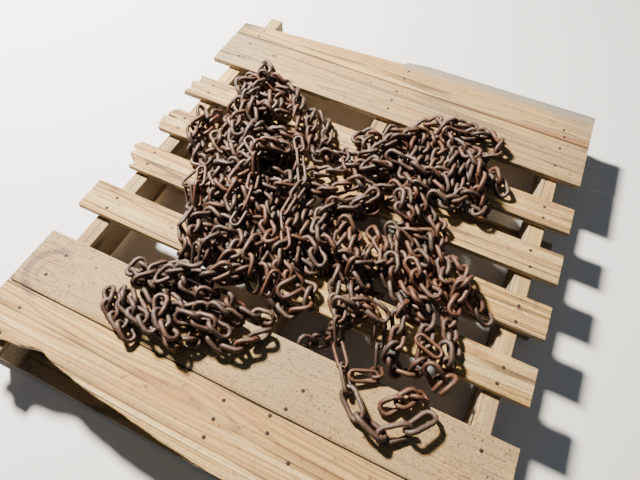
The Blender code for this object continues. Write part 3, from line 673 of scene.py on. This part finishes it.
# Runs of chain stacked one over another: a height map says how high the heap is so far
class Pile:
    def __init__(self):
        self.chance = np.random.default_rng(heap["seed"])
        self.gridX, self.gridY = (np.arange(-half, half, heap["gridStep"]) for half in heap["gridHalf"])
        self.height = np.zeros((len(self.gridX), len(self.gridY)))
        self.runs = []

    def patch(self, x, y, reach):
        i = np.searchsorted(self.gridX, [x - reach, x + reach])
        j = np.searchsorted(self.gridY, [y - reach, y + reach])
        return slice(*i), slice(*j)

    def lay(self, name, kind, turn, route, tight):
        k = heap["kinds"][kind]
        reach = k["width"] * heap["reach"]
        path = smoothRoute(route)
        z = np.array([self.height[self.patch(x, y, reach)].max() for x, y in path])
        window = np.hanning(heap["window"])
        z = np.convolve(np.pad(z, heap["window"] // 2, mode="edge"), window / window.sum(), mode="valid")
        pitch = (k["length"] - 2 * k["rod"]) * tight
        places = paced(np.column_stack([path, z + deckTop + heap["lift"]]), pitch)
        if len(places) < 2:
            return
        along = unit(np.diff(places, axis=0))
        side = unit(np.cross([0, 0, 1.0], along))
        up = np.cross(along, side)
        uneven = self.chance.uniform(-heap["uneven"], heap["uneven"], len(along))
        roll = np.radians(turn + k["roll"] * np.arange(len(along)) + uneven)
        y = side * np.cos(roll)[:, None] + up * np.sin(roll)[:, None]
        turned = np.stack([along, y, np.cross(along, y)], axis=2)
        self.runs.append((name, kind, (places[1:] + places[:-1]) / 2, turned))
        for (px, py), top in zip(path, z + heap["rise"]):
            spot = self.patch(px, py, reach)
            self.height[spot] = np.maximum(self.height[spot], top)

    # one layer of a lobe: runs to and fro across the ellipse that the dome has at that height
    def layer(self, core, lobe, number):
        cx, cy, a, b, top = (value / 1000 for value in lobe[:5])
        z = heap["firstLayer"] + heap["layerGap"] * number
        if z > top - heap["crown"]:
            return
        k = np.sqrt(1 - (z / top) ** 2)
        turn = np.radians(heap["layerTurns"][number])
        across = np.hypot(a * np.sin(turn), b * np.cos(turn)) * k
        along = np.hypot(a * np.cos(turn), b * np.sin(turn)) * k
        runs = max(int(round(2 * across / heap["runGap"])), 1)
        v = (np.arange(runs) + 0.5) / runs * 2 - 1
        points = []
        for i, share in enumerate(v):
            w = along * np.sqrt(max(1 - share * share, heap["tipShare"]))
            u = np.linspace(-w, w, max(int(2 * w / heap["pointGap"]), 2) + 1) * (1 if i % 2 == 0 else -1)
            points.append(np.column_stack([u, np.full(len(u), share * across)]))
        points = np.vstack(points)
        points = points + self.chance.uniform(-1, 1, points.shape) * heap["runWander"]
        t = np.radians(lobe[5]) + turn
        x = cx + np.cos(t) * points[:, 0] - np.sin(t) * points[:, 1]
        y = cy + np.sin(t) * points[:, 0] + np.cos(t) * points[:, 1]
        self.lay("core_" + core, "thick", 45, np.column_stack([x, y]), heap["coreTight"])


# nearest points of many pairs of straight pieces, p to q
def nearest(p1, q1, p2, q2):
    d1, d2, r = q1 - p1, q2 - p2, p1 - p2
    a, e, f, c, b = rowDot(d1, d1), rowDot(d2, d2), rowDot(d2, r), rowDot(d1, r), rowDot(d1, d2)
    flat = a * e - b * b
    s = np.where(flat > 1e-14, (b * f - c * e) / np.maximum(flat, 1e-14), 0.5).clip(0, 1)
    t = ((b * s + f) / e).clip(0, 1)
    s = ((b * t - c) / a).clip(0, 1)
    return p1 + s[:, None] * d1, p2 + t[:, None] * d2


# rows of vectors added up by their owners' numbers
def summed(owner, vectors, count):
    return np.stack([np.bincount(owner, vectors[:, k], count) for k in range(3)], axis=1)


# turns by small rotation vectors, as matrices (Rodrigues)
def spun(v):
    a = np.linalg.norm(v, axis=1)
    s = np.where(a > 1e-9, np.sin(a) / np.maximum(a, 1e-12), 1.0)[:, None, None]
    c = np.where(a > 1e-9, (1 - np.cos(a)) / np.maximum(a * a, 1e-12), 0.5)[:, None, None]
    k = np.zeros((len(v), 3, 3))
    k[:, 0, 1], k[:, 0, 2], k[:, 1, 2] = -v[:, 2], v[:, 1], -v[:, 0]
    k[:, 1, 0], k[:, 2, 0], k[:, 2, 1] = v[:, 2], -v[:, 1], v[:, 0]
    return np.eye(3) + s * k + c * np.einsum("nij,njk->nik", k, k)


# where balls of the links touch boxes: the boards and the stringers
def boxTouch(centres, low, high, radius, reach):
    off = centres - np.clip(centres, low, high)
    away = np.linalg.norm(off, axis=1)
    inside = away < 1e-9
    out = off / np.maximum(away, 1e-9)[:, None]
    out[inside] = [0, 0, 1]
    gap = np.where(inside, centres[:, 2] - high[:, 2], away) - radius
    return np.flatnonzero(gap < reach), out, gap


# boxes of the deck boards from front to back, or of the stringers from left to right
def solids(prefix):
    corners = np.array([[*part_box(name)] for name in sorted(nodes) if name.startswith(prefix)])
    order = np.argsort(corners[:, 0, 1 if prefix == "deck" else 0])
    return corners[order, 0], corners[order, 1]


# All links as rigid rings. Each step finds what touches, and moves and turns the links by the least
# that keeps rods apart, linked ends within the slack, and the planes of linked links crossed
def settle(pile):
    x = np.vstack([run[2] for run in pile.runs])
    pose = np.vstack([run[3] for run in pile.runs])
    kind = np.concatenate([[kindNames.index(run[1])] * len(run[2]) for run in pile.runs])
    strand = np.concatenate([[i] * len(run[2]) for i, run in enumerate(pile.runs)])
    n = len(x)
    size = {key: np.array([heap["kinds"][k][key] for k in kindNames])[kind]
            for key in ("length", "width", "rod", "lean")}
    ringTurns = np.radians([-90, -30, 30, 90, 90, 150, 210, 270])
    swell = np.where(np.abs(np.cos(ringTurns)) > 0.5, fall["bulge"], 1.0)
    local = np.stack([linkLine(k, ringTurns, swell) for k in kindNames])[kind]
    rod = size["rod"] / 2
    grips = size["length"] / 2 - size["rod"] - fall["seat"] * (size["width"] - size["rod"])
    spread = np.append((fall["inertia"] * size["length"]) ** 2, 1.0)
    free = np.append(np.ones(n), 0.0)
    starts = {run[0]: np.searchsorted(strand, i) for i, run in enumerate(pile.runs)}
    ends = {run[0]: np.searchsorted(strand, i, "right") - 1 for i, run in enumerate(pile.runs)}
    inner = np.flatnonzero(strand[1:] == strand[:-1])
    ja = np.concatenate([inner, [ends[first] for first, second in heap["joins"]]])
    jb = np.concatenate([inner + 1, [starts[second] for first, second in heap["joins"]]])
    lean = fall["leanShare"] * np.radians(size["lean"])[:, None]
    shut = np.radians(fall["open"])
    deckLows, deckHighs = solids("deck")
    railLows, railHighs = solids("stringer")
    deckHighs[-1, 1] = deckLows[-1, 1] + fall["lastWidth"]
    for step in range(fall["swell"] + fall["sink"] + fall["calm"]):
        grown = min(1.0, fall["thin"] + (1 - fall["thin"]) * step / fall["swell"])
        sinking = fall["swell"] <= step < fall["swell"] + fall["sink"]
        drop = fall["drop"] * (1 if sinking else fall["calmDrop"] if step >= fall["swell"] else 0)
        ring = x[:, None] + np.einsum("nij,nkj->nki", pose, local)
        after = np.roll(ring, -1, axis=1)
        middle = (ring + after) / 2
        if step % fall["pairEvery"] == 0:
            close = np.linalg.norm(x[:, None] - x[None], axis=2) < fall["pairReach"]
            ia, ib = np.nonzero(np.triu(close, 1))
            half = np.linalg.norm(after - ring, axis=2) / 2
            apart = np.linalg.norm(middle[ia][:, :, None] - middle[ib][:, None], axis=3)
            limit = half[ia][:, :, None] + half[ib][:, None] + (rod[ia] + rod[ib])[:, None, None]
            pair, sa, sb = np.nonzero(apart < limit + fall["pairSlack"])
            ia, ib = ia[pair], ib[pair]
        p, q = nearest(ring[ia, sa], after[ia, sa], ring[ib, sb], after[ib, sb])
        away = np.linalg.norm(p - q, axis=1)
        gap = away - (rod[ia] + rod[ib]) * grown
        near = np.flatnonzero(gap < fall["reach"])
        out = (p - q)[near] / np.maximum(away[near], 1e-9)[:, None]
        rows = [[ia[near], ib[near], out, p[near] - x[ia[near]], q[near] - x[ib[near]], gap[near]]]
        balls = np.concatenate([ring, middle], axis=1).reshape(-1, 3)
        owner = np.repeat(np.arange(n), 2 * len(ringTurns))
        plank = np.searchsorted((deckLows[1:, 1] + deckHighs[:-1, 1]) / 2, balls[:, 1])
        rail = np.abs(balls[:, :1] - (railLows[:, 0] + railHighs[:, 0]) / 2).argmin(axis=1)
        for low, high in ((deckLows[plank], deckHighs[plank]), (railLows[rail], railHighs[rail])):
            hit, away, gap = boxTouch(balls, low, high, rod[owner], fall["reach"])
            arm = balls[hit] - away[hit] * rod[owner[hit]][:, None] - x[owner[hit]]
            ground = np.full(len(hit), n)
            rows.append([owner[hit], ground, away[hit], arm, np.zeros((len(hit), 3)), gap[hit]])
        touch = [np.concatenate(column) for column in zip(*rows)]
        pa, pb = pose[ja][:, :, 0] * grips[ja][:, None], -pose[jb][:, :, 0] * grips[jb][:, None]
        pull = x[ja] + pa - x[jb] - pb
        stretch = np.linalg.norm(pull, axis=1)
        tied = [ja, jb, -pull / np.maximum(stretch, 1e-9)[:, None], pa, pb, fall["slack"] - stretch]
        groups = []
        for (a, b, out, ra, rb, gaps), rub in ((touch, fall["rub"]), (tied, 0)):
            wa = free[a] * (1 + (np.cross(ra, out) ** 2).sum(1) / spread[a])
            wb = free[b] * (1 + (np.cross(rb, out) ** 2).sum(1) / spread[b])
            groups.append((a, b, out, ra, rb, np.maximum(gaps, -fall["push"]), wa, wb, rub,
                           np.zeros(len(a)), np.zeros((len(a), 3))))
        move, turn = np.zeros((n + 1, 3)), np.zeros((n + 1, 3))
        move[:n, 2] = -drop
        for _ in range(fall["passes"]):
            for a, b, out, ra, rb, gaps, wa, wb, rub, push, grip in groups:
                go = move[a] + np.cross(turn[a], ra) - move[b] - np.cross(turn[b], rb)
                closing = rowDot(go, out)
                live = ((gaps + closing < 0) | (push > 0)).astype(float)
                count = np.bincount(a, live, n + 1) + np.bincount(b, live, n + 1)
                share = fall["relax"] / np.maximum(count[a] * wa + count[b] * wb, 1e-9)
                newPush = np.maximum(push - (gaps + closing) * share, 0)
                blow = (newPush - push)[:, None] * out
                if rub:
                    newGrip = grip - (go - closing[:, None] * out) * (share * live)[:, None]
                    limit = rub * newPush / np.maximum(np.linalg.norm(newGrip, axis=1), 1e-12)
                    newGrip *= np.minimum(1, limit)[:, None]
                    blow += newGrip - grip
                    grip[:] = newGrip
                push[:] = newPush
                ta, tb = np.cross(ra, blow), np.cross(rb, blow)
                move += free[:, None] * (summed(a, blow, n + 1) - summed(b, blow, n + 1))
                turn += (free / spread)[:, None] * (summed(a, ta, n + 1) - summed(b, tb, n + 1))
        move, turn = move[:n], turn[:n]
        move *= np.minimum(1, fall["move"] / np.maximum(np.linalg.norm(move, axis=1), 1e-12))[:, None]
        turn *= np.minimum(1, fall["turn"] / np.maximum(np.linalg.norm(turn, axis=1), 1e-12))[:, None]
        x = np.round(x + move, 8)
        pose = np.einsum("nij,njk->nik", spun(turn), pose)
        # linked links: turn both about their common line until their planes are open enough
        za = pose[ja][:, :, 2] * np.cos(lean[ja]) - pose[ja][:, :, 1] * np.sin(lean[ja])
        zb = pose[jb][:, :, 2] * np.cos(lean[jb]) + pose[jb][:, :, 1] * np.sin(lean[jb])
        same = rowDot(za, zb)
        over = np.maximum(shut - np.arccos(np.minimum(np.abs(same), 1)), 0)
        axis = np.cross(za, zb * np.where(same < 0, -1, 1)[:, None])
        flat = np.linalg.norm(axis, axis=1) < 1e-3
        axis[flat] = pose[ja][flat][:, :, 0]
        fix = unit(axis) * (fall["openPace"] * np.minimum(over, fall["openMost"]))[:, None]
        pose = np.einsum("nij,njk->nik", spun(summed(jb, fix, n) - summed(ja, fix, n)), pose)
        first = unit(pose[:, :, 0])
        third = unit(np.cross(first, pose[:, :, 1]))
        pose = np.round(np.stack([first, np.cross(third, first), third], axis=2), 8)
    depth = -groups[0][5][:len(near)]
    print("links settled: %d, deep touches: %d" % (n, (depth > 0.001).sum()))
    return x, pose, kind, strand


# The rod's skin: rings of points round the middle line at each turn, in the plane across it. At turn a
# and rod angle w a point is at line(a) + rod(a) * (cos w * outward(a) - sin w * across(a)), and the rod
# is thinner at the bends, where links wear on each other
links = {"turns": 12, "sides": 6, "bendWear": 0.06, "pitting": 0.035}


def linkSkin(kind):
    k = heap["kinds"][kind]
    half = links["turns"] // 2
    bend = np.linspace(-np.pi / 2, np.pi / 2, half)
    turns = np.concatenate([bend, bend + np.pi])
    line = linkLine(kind, turns, 1.0)
    along = unit(np.roll(line, -1, axis=0) - np.roll(line, 1, axis=0))
    lean = np.radians(k["lean"]) * line[:, 0] / (k["length"] / 2)
    plane = np.stack([np.zeros(len(turns)), -np.sin(lean), np.cos(lean)], axis=1)
    outward = unit(np.cross(along, plane))
    across = np.cross(outward, along)
    thick = k["rod"] / 2 * (1 - links["bendWear"] * np.cos(turns) ** 2)
    w = np.arange(links["sides"]) * 2 * np.pi / links["sides"]
    ring = np.cos(w)[None, :, None] * outward[:, None] - np.sin(w)[None, :, None] * across[:, None]
    ring = ring * thick[:, None, None]
    if k["gap"] == 0:
        return line, ring
    kept = np.roll(np.arange(len(turns)), -half // 2)
    kept = kept[(kept >= half) | (np.abs(turns[kept]) > np.radians(k["gap"] / 2))]
    return line[kept], ring[kept]


# all links of some runs as one mesh; a link whose bend is cut has a cap at each end of its rod
def linkMesh(name, chosen, x, pose, kind, replaced, chance):
    corners, quads, caps, tones, count = [], [], [], [], 0
    for number, key in enumerate(kindNames):
        mine = chosen[kind[chosen] == number]
        line, ring = linkSkin(key)
        m, k = ring.shape[:2]
        rough = 1 + links["pitting"] * chance.uniform(-1, 1, (len(mine), m, k))
        local = line[:, None] + ring * rough[..., None]
        placed = x[mine][:, None, None] + np.einsum("nij,nabj->nabi", pose[mine], local)
        corners.append(placed.reshape(-1, 3))
        whole = heap["kinds"][key]["gap"] == 0
        shift = count + np.arange(len(mine))[:, None, None] * m * k
        quads.append((tubeFaces(m, k, whole) + shift).reshape(-1, 4))
        if not whole:
            cap = np.stack([np.arange(k), (m - 1) * k + np.arange(k)[::-1]])
            caps.append((cap + shift).reshape(-1, k))
        tones.append(np.repeat(chance.uniform(0, 1, len(mine)), m * k))
        count += len(mine) * m * k
    made = piece(name, np.vstack(corners), [np.vstack(quads), *caps], rustIron,
                 {"tone": np.concatenate(tones)})
    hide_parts(replaced)


pile = Pile()
for number in range(len(heap["layerTurns"])):
    for core, lobes in heap["lobes"].items():
        for lobe in lobes:
            pile.layer(core, lobe, number)
for start, routes in (("", strands), ("core_", extras)):
    for name, kind, turn, route in routes:
        pile.lay(start + name, kind, turn, np.array(route) / 1000, heap["tight"])
x, pose, kind, strand = settle(pile)
runNames = np.array([run[0] for run in pile.runs])[strand]
chance = np.random.default_rng(heap["seed"] + 1)
for name in sorted(set(runNames)):
    linkMesh("links_" + name, np.flatnonzero(runNames == name), x, pose, kind, "chain_" + name, chance)
print("links made: " + ", ".join("%d %s" % (np.sum(kind == i), key) for i, key in enumerate(kindNames)))


# Floor, light and camera
studio = {
    "floor": rgb(0.80, 0.78, 0.75), "floorSize": 12.0,
    "world": rgb(0.70, 0.84, 1.0), "worldPower": 0.13,
    "keyFrom": (-0.92, 0.38, 1.02), "keyReach": 3.2, "keySize": 0.40, "keyPower": 560.0,
    "keyColour": (1.0, 0.95, 0.86),
    "cameraAt": (0.2339, -0.6272, 1.0500),
    "cameraRight": (0.9043469, 0.42546431, 0.03371648), "cameraUp": (-0.37792965, 0.76159025, 0.52644988),
    "cameraBack": (0.19830749, -0.48883577, 0.84953736), "lens": 27.01, "sensor": 36.0,
}


def floorPlane():
    half = studio["floorSize"] / 2
    mesh = bpy.data.meshes.new("floor")
    corners = [(-half, -half, 0), (half, -half, 0), (half, half, 0), (-half, half, 0)]
    mesh.from_pydata(corners, [], [(0, 1, 2, 3)])
    f = Finish("studio_floor", 0.9)
    f.coloured(studio["floor"])
    mesh.materials.append(f.material)
    floor = added("floor", mesh)


# turns and places a lamp or the camera by its right, up and back axes and its place
def aim(thing, *columns):
    thing.matrix_world = Matrix([*np.column_stack(columns).tolist(), [0, 0, 0, 1]])


def keyLight():
    light = bpy.data.lights.new("key", "AREA")
    light.energy, light.size, light.shape = studio["keyPower"], studio["keySize"], "DISK"
    light.color = studio["keyColour"]
    back = unit(np.array(studio["keyFrom"]))
    right = unit(np.cross([0, 0, 1.0], back))
    aim(added("key", light), right, np.cross(back, right), back, back * studio["keyReach"])


floorPlane()
keyLight()
world = bpy.data.worlds.new("studio")
bpy.context.scene.world = world
world.use_nodes = True
world.node_tree.nodes["Background"].inputs["Color"].default_value = studio["world"]
world.node_tree.nodes["Background"].inputs["Strength"].default_value = studio["worldPower"]
camera = added("camera", bpy.data.cameras.new("camera"))
camera.data.sensor_width, camera.data.lens = studio["sensor"], studio["lens"]
aim(camera, studio["cameraRight"], studio["cameraUp"], studio["cameraBack"], studio["cameraAt"])
bpy.context.scene.camera = camera
print("studio made")
